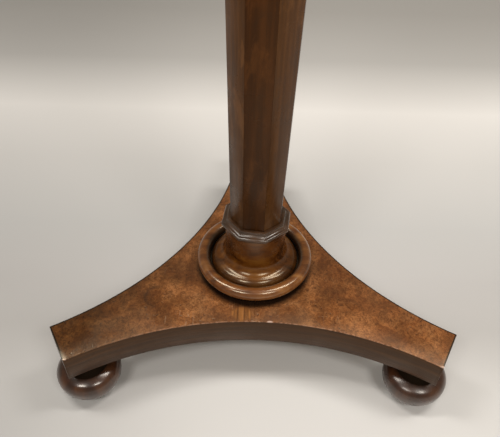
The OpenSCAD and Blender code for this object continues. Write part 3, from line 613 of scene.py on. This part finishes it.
# Painted light: every second side, the two next to the front among them, is made paler and greyer, as light
# and pale reflections fall on them.
tone = tinted(tree, painted_lit_side, tone, (1.58, 1.90, 2.60))
up = axis_of(tree, place, "Z")
flame = times(tree, between(tree, up, 0.36, 0.46), between(tree, blotch, 0.35, 0.75))
flame = times(tree, flame, figure(tree, "SUBTRACT", 1.0, painted_lit_side))
tone = tinted(tree, flame, tone, (1.75, 1.40, 1.0))
tone = tinted(tree, between(tree, up, 0.16, 0.34, 1.0, 0.0), tone, (0.78, 0.82, 0.85))
worn = use(tree, polish_group, Vector=place)
finish(tree, shader, tone, between(tree, worn["Smudge"], 0.0, 1.0, 0.24, 0.38),
       figure(tree, "SUBTRACT", streaks["Streak"], streaks["Pores"]), depth=0.00006)
print("finish:", column_wood.name)

# %% Brass and steel
def metal(name, bright, dull, gloss):
    material, tree, shader, place = new_material(name, Metallic=1.0)
    worn = use(tree, polish_group, Vector=place)
    brushed = noise(tree, stretched(tree, place, (2600, 60, 200)), 1.0)
    tone = over(tree, between(tree, worn["Smudge"], 0.2, 1.0, 0.0, 0.8), (*bright, 1), (*dull, 1))
    roughness = between(tree, figure(tree, "ADD", worn["Smudge"], brushed), 0.3, 1.7, *gloss)
    finish(tree, shader, tone, roughness, brushed, depth=0.00001)
    return material


brass = metal("brass", (0.78, 0.52, 0.20), (0.36, 0.22, 0.09), (0.22, 0.50))
steel = metal("steel", (0.42, 0.41, 0.40), (0.12, 0.10, 0.09), (0.30, 0.60))
print("metals:", brass.name, steel.name)

# %% [markdown]
# ## Modelling by hand
# Each new piece starts as a primitive and is shaped in edit mode. The operators act on whatever is
# selected, so these helpers begin with nothing selected, pick faces by their place, and leave a piece
# whose origin is the table's own origin.

# %% Helpers for modelling
EASED_OVER, SMOOTH_UNDER, SAME_POINT = math.radians(40), math.radians(32), 0.002 * MM


def begin(primitive, name, **how):
    if bpy.context.object and bpy.context.object.mode == "EDIT":
        bpy.ops.object.mode_set(mode="OBJECT")
    bpy.ops.object.select_all(action="DESELECT")
    primitive(**how)
    piece = bpy.context.active_object
    piece.name = name
    bpy.ops.object.mode_set(mode="EDIT")
    bpy.ops.mesh.select_all(action="SELECT")
    return piece


def pick(piece, kind, test):
    """Selects the faces or vertices that pass a test of their place or normal."""
    bpy.ops.mesh.select_mode(type=kind)
    bpy.ops.mesh.select_all(action="DESELECT")
    drawn = bmesh.from_edit_mesh(piece.data)
    for thing in {"FACE": drawn.faces, "VERT": drawn.verts}[kind]:
        thing.select_set(bool(test(thing)))
    drawn.select_flush_mode()
    bmesh.update_edit_mesh(piece.data)


def settle(piece, material, bevel=0.0, segments=2):
    """Closes the piece, eases its arrises, applies its place and gives it its finish."""
    bpy.ops.mesh.select_mode(type="VERT")
    bpy.ops.mesh.select_all(action="SELECT")
    bpy.ops.mesh.remove_doubles(threshold=SAME_POINT)
    bpy.ops.mesh.fill_holes(sides=0)
    bpy.ops.mesh.select_all(action="SELECT")
    bpy.ops.mesh.normals_make_consistent(inside=False)
    bpy.ops.object.mode_set(mode="OBJECT")
    bpy.ops.object.transform_apply(location=True, rotation=True, scale=True)
    if bevel:
        eased = piece.modifiers.new("eased", "BEVEL")
        eased.width, eased.segments, eased.limit_method = bevel, segments, "ANGLE"
        eased.angle_limit = EASED_OVER
        bpy.ops.object.modifier_apply(modifier="eased")
    bpy.ops.object.shade_smooth_by_angle(angle=SMOOTH_UNDER)
    piece.data.materials.clear()
    piece.data.materials.append(material)
    return piece


def turn_copy(piece, name, degrees):
    """A copy with its own mesh, turned round the table's axis."""
    bpy.ops.object.select_all(action="DESELECT")
    piece.select_set(True)
    bpy.context.view_layer.objects.active = piece
    bpy.ops.object.duplicate()
    copy = bpy.context.active_object
    copy.name = name
    copy.rotation_euler.z = math.radians(degrees)
    bpy.ops.object.transform_apply(location=False, rotation=True, scale=False)
    return copy


def stands_for(piece, body, slot, *nodes):
    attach(piece, body)
    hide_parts(*nodes)
    drawn = bmesh.new()
    drawn.from_mesh(piece.data)
    loose = sum(1 for e in drawn.edges if len(e.link_faces) != 2)
    print("%-22s faces %6d  open edges %d  volume %8.2f cm3" % (
        piece.name, len(drawn.faces), loose, drawn.calc_volume() * 1e6))
    drawn.free()
    return piece

# %% Turning and drawing
def turned(name, rings, middle=(0, 0), sides=96):
    """Lathe work: a circle, extruded and resized from one ring (radius, height) to the next."""
    radius, height = rings[0]
    piece = begin(bpy.ops.mesh.primitive_circle_add, name, vertices=sides, radius=radius,
                  location=(*middle, height))
    for (was, low), (now, high) in zip(rings, rings[1:]):
        bpy.ops.mesh.extrude_region_move(TRANSFORM_OT_translate={"value": (0, 0, high - low)})
        bpy.ops.transform.resize(value=(now / was, now / was, 1), center_override=(*middle, high))
    return piece


def arc(out, up, radius, start, end, steps):
    """Points (radius, height) along an arc, with its centre and radius in millimetres."""
    turns = [math.radians(start + (end - start) * step / steps) for step in range(steps + 1)]
    return [((out + radius * math.cos(t)) * MM, (up + radius * math.sin(t)) * MM) for t in turns]


def walk(name, start, moves, low, high):
    """Draws an outline line by line and arc by arc, fills it, and raises it from low to high."""
    piece = begin(bpy.ops.mesh.primitive_plane_add, name, size=MM, location=(*start, low))
    bpy.ops.mesh.merge(type="CENTER")
    here = Vector((*start, low))
    for move in moves:
        if len(move) == 2:
            there = Vector((*move, low))
            bpy.ops.mesh.extrude_region_move(TRANSFORM_OT_translate={"value": there - here})
        else:
            centre, angle, steps = move
            bpy.ops.mesh.spin(steps=steps, angle=-angle, center=(*centre, low), axis=(0, 0, 1))
            middle = Vector((*centre, low))
            there = middle + Matrix.Rotation(angle, 3, "Z") @ (here - middle)
        here = there
    bpy.ops.mesh.select_all(action="SELECT")
    bpy.ops.mesh.remove_doubles(threshold=SAME_POINT)
    bpy.ops.mesh.edge_face_add()
    bpy.ops.mesh.extrude_region_move(TRANSFORM_OT_translate={"value": (0, 0, high - low)})
    return piece


def polar(radius, degrees):
    return Vector((radius * math.cos(math.radians(degrees)), radius * math.sin(math.radians(degrees))))

# %% [markdown]
# ## The platform
# The platform has three arms and three hollow sides. Its top is veneered in three leaves of burr that
# meet on the middle of each hollow side, and darker veneer covers its sides and ends. One leaf is drawn
# with two spins, one round the centre of each hollow side, as a joiner would with a trammel. Cylinders
# cut out of a plate would give the same outline, but with long thin faces along the hollow sides.

# %% Platform leaves
PLATFORM_TOP, PLATFORM_LOW, VENEER = 85 * MM, 53 * MM, 1.5 * MM
SOCLE_TOP, BLOCK_LOW = 149 * MM, 672 * MM
WAIST, END_HALF, BORE = 79 * MM, 22 * MM, 14.1 * MM
SWEEP = math.asin((REACH * math.cos(math.radians(30)) - END_HALF / 2) / HOLLOW_R)
ARMS = {"back": 90, "left": 210, "right": 330}

for arm, turn in ARMS.items():
    corner = polar(REACH, turn) - polar(END_HALF, turn + 90)
    leaf = walk("leaf_" + arm, polar(WAIST, turn + 60),
                [(polar(HOLLOW_OUT, turn + 60), SWEEP, 40), tuple(corner),
                 (polar(HOLLOW_OUT, turn - 60), SWEEP, 40), tuple(polar(BORE, turn - 60)),
                 ((0, 0), math.radians(120), 24), tuple(polar(WAIST, turn + 60))],
                PLATFORM_TOP - VENEER, PLATFORM_TOP)
    settle(leaf, platform_burr[arm], bevel=0.45 * MM)
    stands_for(leaf, "base", "burr_veneer", "platform_leaf_" + arm)

# %% Side and end veneers
SIDE_SWEEP = SWEEP - VENEER / HOLLOW_R
for label, turn in (("front", 270), ("right", 30), ("left", 150)):
    centre = polar(HOLLOW_OUT, turn)
    start = math.degrees(math.pi - SIDE_SWEEP) + turn
    stop = math.degrees(math.pi + SIDE_SWEEP) + turn
    side = walk("side_" + label, centre + polar(HOLLOW_R, start),
                [(centre, 2 * SIDE_SWEEP, 80), tuple(centre + polar(HOLLOW_R + VENEER, stop)),
                 (centre, -2 * SIDE_SWEEP, 80), tuple(centre + polar(HOLLOW_R, start))],
                PLATFORM_LOW, PLATFORM_TOP - VENEER)
    settle(side, side_walnut, bevel=0.3 * MM)
    stands_for(side, "base", "edge_veneer", "side_veneer_" + label)

for arm, turn in ARMS.items():
    end = begin(bpy.ops.mesh.primitive_cube_add, "end_" + arm, size=1, rotation=(0, 0, math.radians(turn)),
                location=(*polar(REACH - VENEER / 2, turn), (PLATFORM_LOW + PLATFORM_TOP - VENEER) / 2),
                scale=(VENEER, 2 * END_HALF, PLATFORM_TOP - VENEER - PLATFORM_LOW))
    settle(end, side_walnut, bevel=0.3 * MM)
    stands_for(end, "base", "edge_veneer", "end_veneer_" + arm)

# %% [markdown]
# ## Feet, ring and socle
# These are lathe work. A lathe makes one outline and turns it, and so does this: a circle is extruded
# and resized ring by ring. The outline is written as arcs, with the radius and centre of each tool cut,
# so that each cut can be changed without drawing the others again.

# %% Feet
FOOT_OUT, NECK_R, TENON_R, TENON_TOP, TENON_EASE = 195.4 * MM, 21.0 * MM, 10 * MM, 77 * MM, 0.6 * MM
belly = arc(7.6, 24, 25, -73.74, 0, 28)
shoulder = arc(20.6, 24, 12, 0, 60, 18)[1:] + arc(11.6, 8.41, 30, 60, 71.7, 6)[1:]
neck = [(NECK_R, PLATFORM_LOW), (TENON_R, PLATFORM_LOW)]
tenon = [(TENON_R, TENON_TOP - TENON_EASE), (TENON_R - TENON_EASE, TENON_TOP)]
foot_back = turned("bun_foot_back", belly + shoulder + neck + tenon, (0, FOOT_OUT))
settle(foot_back, turned_dark)
for arm, turn in (("left", 120), ("right", 240)):
    stands_for(turn_copy(foot_back, "bun_foot_" + arm, turn), "base", "turned_foot", "foot_" + arm)
stands_for(foot_back, "base", "turned_foot", "foot_back")

# %% Ring and socle
SPIGOT_R, RING_BORE, STEP_TOP, SIDES = 19 * MM, 19.1 * MM, 93 * MM, 128
step = [(RING_BORE, PLATFORM_TOP), (50.5 * MM, PLATFORM_TOP), (51 * MM, 85.5 * MM)]
roll = arc(54.35, 97.4, 6.75, -119.8, 220.7, 56)
ring = turned("socle_ring_turned", step + roll + [(RING_BORE, STEP_TOP), step[0]], sides=SIDES)
settle(ring, ring_wood)
stands_for(ring, "base", "turned_socle", "socle_ring")

spigot = [(BORE, PLATFORM_TOP), (SPIGOT_R, PLATFORM_TOP), (SPIGOT_R, STEP_TOP)]
bead, cove = arc(37, 94, 9, -6.38, 74.87, 24), arc(42.3, 113.6, 11.3, 254.87, 180, 24)[1:]
head = [(31 * MM, SOCLE_TOP), (BORE, SOCLE_TOP)]
socle = turned("socle_turned", spigot + bead + cove + head + [spigot[0]], sides=SIDES)
settle(socle, socle_wood)
stands_for(socle, "base", "turned_socle", "socle")

# %% [markdown]
# ## The column
# The column has eight sides and gets wider upwards. One veneer leaf is a thin box, leaned to the slope
# of its side and cut along two mitres that meet on the column's axis. It is then copied once for each
# side. A cone with eight sides would look alike, but it would have no joints between the leaves.

# %% Column leaves
FOOT_HALF, HEAD_HALF, LEAF, BLANK = 24.6 * MM, 35.6 * MM, 1.2 * MM, 60 * MM


def mitre():
    """Cuts what is in edit mode along the two planes that bound the front eighth."""
    for side in (-1, 1):
        bpy.ops.mesh.select_all(action="SELECT")
        normal = (side * math.cos(math.radians(EIGHTH / 2)), math.sin(math.radians(EIGHTH / 2)), 0)
        bpy.ops.mesh.bisect(plane_co=(0, 0, 0), plane_no=normal, use_fill=True, clear_outer=True)


leaf = begin(bpy.ops.mesh.primitive_cube_add, "column_leaf_front", size=1,
             location=(0, LEAF / 2 - FOOT_HALF, (SOCLE_TOP + BLOCK_LOW) / 2),
             scale=(BLANK, LEAF, BLOCK_LOW - SOCLE_TOP))
pick(leaf, "FACE", lambda face: face.normal.z > 0.9)
bpy.ops.transform.translate(value=(0, FOOT_HALF - HEAD_HALF, 0))
mitre()
settle(leaf, column_wood, bevel=0.35 * MM)
column_leaves = [turn_copy(leaf, "column_leaf_side_%d" % (k + 1), TWIST + EIGHTH * k) for k in range(8)]
bpy.data.objects.remove(leaf)
for k, copy in enumerate(column_leaves):
    stands_for(copy, "base", "column_veneer", "column_leaf_%d" % (k + 1))

# %% [markdown]
# ## The collars
# A moulding of eight lengths is mitred round the foot of the column, and a smaller one under the block.
# Its outline is a bead, a cove and a fillet. The outline is drawn point by point at the front, pulled
# sideways into a bar as a moulding plane would leave it, and cut to the column's slope and to its mitres.
# That order matters: the slope is cut while the bar is still square to it.

# %% Helper: drawn outline
def drawn(name, points):
    """An outline in the plane X = 0, through points of (distance in front of the axis, height)."""
    at = [Vector((0, -out, up)) for out, up in points]
    piece = begin(bpy.ops.mesh.primitive_plane_add, name, size=MM, location=at[0])
    bpy.ops.mesh.merge(type="CENTER")
    for here, there in zip(at, at[1:] + at[:1]):
        bpy.ops.mesh.extrude_region_move(TRANSFORM_OT_translate={"value": there - here})
    bpy.ops.mesh.select_all(action="SELECT")
    bpy.ops.mesh.remove_doubles(threshold=SAME_POINT)
    bpy.ops.mesh.edge_face_add()
    return piece


# %% Mitred collars
FILLET_OUT, FILLET_UP, WASTE = 3.6, 1.2, 1.0


def collar_outline(half, reach, bead, cove):
    """Bead, cove and fillet, in millimetres from the axis and from the flat. The waste is cut off."""
    place, top, back = half + reach, 2 * bead + cove, half - WASTE
    rings = [(back, 0.0)] + [(x / MM, z / MM) for x, z in arc(place, bead, bead, -90, 90, 16)]
    rings += [(x / MM, z / MM) for x, z in arc(place, top, cove, 270, 180, 12)][1:]
    return rings + [(half + FILLET_OUT, top), (half + FILLET_OUT, top + FILLET_UP), (back, top + FILLET_UP)]


SLOPE = (HEAD_HALF - FOOT_HALF) / (BLOCK_LOW - SOCLE_TOP)
for name, flat, up, half, reach, bead, cove in (
        ("foot_collar", SOCLE_TOP, 1, FOOT_HALF, 6.7, 2.2, 3.4),
        ("head_collar", BLOCK_LOW, -1, HEAD_HALF, 5.4, 1.8, 2.8)):
    outline = [(x * MM, flat + up * z * MM) for x, z in collar_outline(half / MM, reach, bead, cove)]
    length = drawn(name + "_length", outline)
    bpy.ops.transform.translate(value=(-BLANK / 2, 0, 0))
    bpy.ops.mesh.extrude_region_move(TRANSFORM_OT_translate={"value": (BLANK, 0, 0)})
    bpy.ops.mesh.select_all(action="SELECT")
    bpy.ops.mesh.bisect(plane_co=(0, -half, flat), plane_no=(0, 1, SLOPE), use_fill=True, clear_outer=True)
    mitre()
    settle(length, collar_wood, bevel=0.2 * MM)
    for k in range(8):
        copy = turn_copy(length, "%s_length_%d" % (name, k + 1), TWIST + EIGHTH * k)
        stands_for(copy, "base", "collar_moulding", name)
    bpy.data.objects.remove(length)

# %% [markdown]
# ## The top
# The top's veneer is cut in four quarters from one bundle, so that the figure mirrors at each joint. A
# band of cross-grained veneer goes round them, and four lengths of solid walnut make the rounded rim. A
# length of the rim is its section, rounded at two corners and spun through a quarter turn.

# %% Top veneers and rim
TOP, UNDER, RIM_OUT, RIM_IN, QUARTER_R = 720 * MM, 700 * MM, 260 * MM, 251 * MM, 229 * MM
for k in range(4):
    start = 90 * k
    quarter = walk("top_quarter_%d" % (k + 1), polar(QUARTER_R, start),
                   [((0, 0), math.radians(90), 48), (0, 0), tuple(polar(QUARTER_R, start))],
                   TOP - VENEER, TOP)
    settle(quarter, top_burr, bevel=0.12 * MM, segments=1)
    stands_for(quarter, "top", "burr_veneer", "top_leaf_%d" % (k + 1))

band = walk("band_1", polar(QUARTER_R, -EIGHTH / 2),
            [tuple(polar(RIM_IN, -EIGHTH / 2)), ((0, 0), math.radians(EIGHTH), 24),
             tuple(polar(QUARTER_R, EIGHTH / 2)), ((0, 0), math.radians(-EIGHTH), 24)], TOP - VENEER, TOP)
settle(band, cross_wood, bevel=0.1 * MM, segments=1)
for k in range(1, 8):
    copy = turn_copy(band, "band_%d" % (k + 1), EIGHTH * k)
    stands_for(copy, "top", "crossband_veneer", "crossbanding")
stands_for(band, "top", "crossband_veneer", "crossbanding")

ROUNDING = 8.9 * MM
rim = begin(bpy.ops.mesh.primitive_plane_add, "rim", size=1, rotation=(math.pi / 2, 0, 0),
            location=((RIM_IN + RIM_OUT) / 2, 0, (TOP + UNDER) / 2))
bpy.ops.transform.resize(value=(RIM_OUT - RIM_IN, 1, TOP - UNDER))
pick(rim, "VERT", lambda vert: (rim.matrix_world @ vert.co).x > RIM_OUT - MM)
bpy.ops.mesh.bevel(offset=ROUNDING, segments=8, affect="VERTICES")
bpy.ops.mesh.select_all(action="SELECT")
bpy.ops.mesh.spin(steps=64, angle=math.radians(-90), center=(0, 0, 0), axis=(0, 0, 1))
settle(rim, rim_wood)
for k in range(4):
    stands_for(turn_copy(rim, "rim_%d" % (k + 1), 90 * k + 45), "top", "rim_walnut", "top_rim_%d" % (k + 1))
bpy.data.objects.remove(rim)

# %% [markdown]
# ## The catch
# The catch is drawn back by a turned brass knob, and a coil spring pushes it home. The knob is lathe work
# again. The spring is a small circle of wire that the Screw modifier winds round and along.

# %% Knob and spring
KNOB_OUT = -82.8 * MM
ball = [(2.9 * MM, 674.5 * MM)] + arc(0, 679, 5.5, -50, 64, 20) + [(2.4 * MM, 684 * MM)]
flange = [(3.2 * MM, 684 * MM), (3.6 * MM, 684.4 * MM), (3.6 * MM, 685.2 * MM), (3.3 * MM, 685.5 * MM)]
stem = [(2 * MM, 685.5 * MM), (2 * MM, 694.3 * MM)]
knob = turned("catch_knob_turned", ball + flange + stem, (0, KNOB_OUT), 64)
settle(knob, brass)
stands_for(knob, "bolt", "brass", "catch_knob")

SPRING_FROM, SPRING_TO, SPRING_FIXED = -93.4 * MM, -110.9 * MM, -111.5 * MM
WIRE_R, COIL_R, COILS = 0.5 * MM, 3.3 * MM, 6
spring = begin(bpy.ops.mesh.primitive_circle_add, "catch_spring_wound", vertices=12, radius=WIRE_R,
               location=(0, SPRING_FROM, 693 * MM))
bpy.ops.transform.translate(value=(COIL_R, 0, 0))
bpy.ops.object.mode_set(mode="OBJECT")
wound = spring.modifiers.new("wound", "SCREW")
wound.axis, wound.angle, wound.iterations, wound.steps = "Y", math.tau, COILS, 32
wound.screw_offset, wound.use_merge_vertices = (SPRING_TO - SPRING_FROM) / COILS, False
bpy.ops.object.modifier_apply(modifier="wound")
bpy.ops.object.mode_set(mode="EDIT")
settle(spring, steel)
stands_for(spring, "top", "steel", "catch_spring")
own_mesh(spring)

# %% [markdown]
# ## The solids that stay
# Everything that is plainly square or drilled already has its right shape. It keeps its solid and only
# gets its finish.

# %% Finishes for the solids
kept = {old_pine: ["platform_core"],
        pine: ["column_core", "top_board_front", "top_board_middle", "top_board_back"],
        mahogany: ["tilting_block", "bearer_left", "bearer_right"],
        beech: ["lower_wedge", "upper_wedge", "pivot_dowel_left", "pivot_dowel_right"],
        brass: ["catch_plate", "catch_case", "catch_bolt", "catch_screws", "strike_plate", "strike_screws"],
        steel: ["bearer_screws"]}
for material, names in kept.items():
    for name in names:
        solid = frame["nodes"][name].data
        solid.materials.clear()
        solid.materials.append(material)
print("kept solids:", sum(len(names) for names in kept.values()))

# %% [markdown]
# ## Last things
# The top and its bearers don't shade the lamps. They stand between the lamps and the foot of the table,
# and the foot is what this picture is about.

# %% Light through the top
lets_through = bpy.data.collections.new("lets_lamplight_through")
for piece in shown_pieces():
    if body_of(piece) == ["top"]:
        lets_through.objects.link(piece)
for member in lets_through.collection_objects:
    member.light_linking.link_state = "EXCLUDE"
for lamp in lamps:
    lamp.light_linking.blocker_collection = lets_through
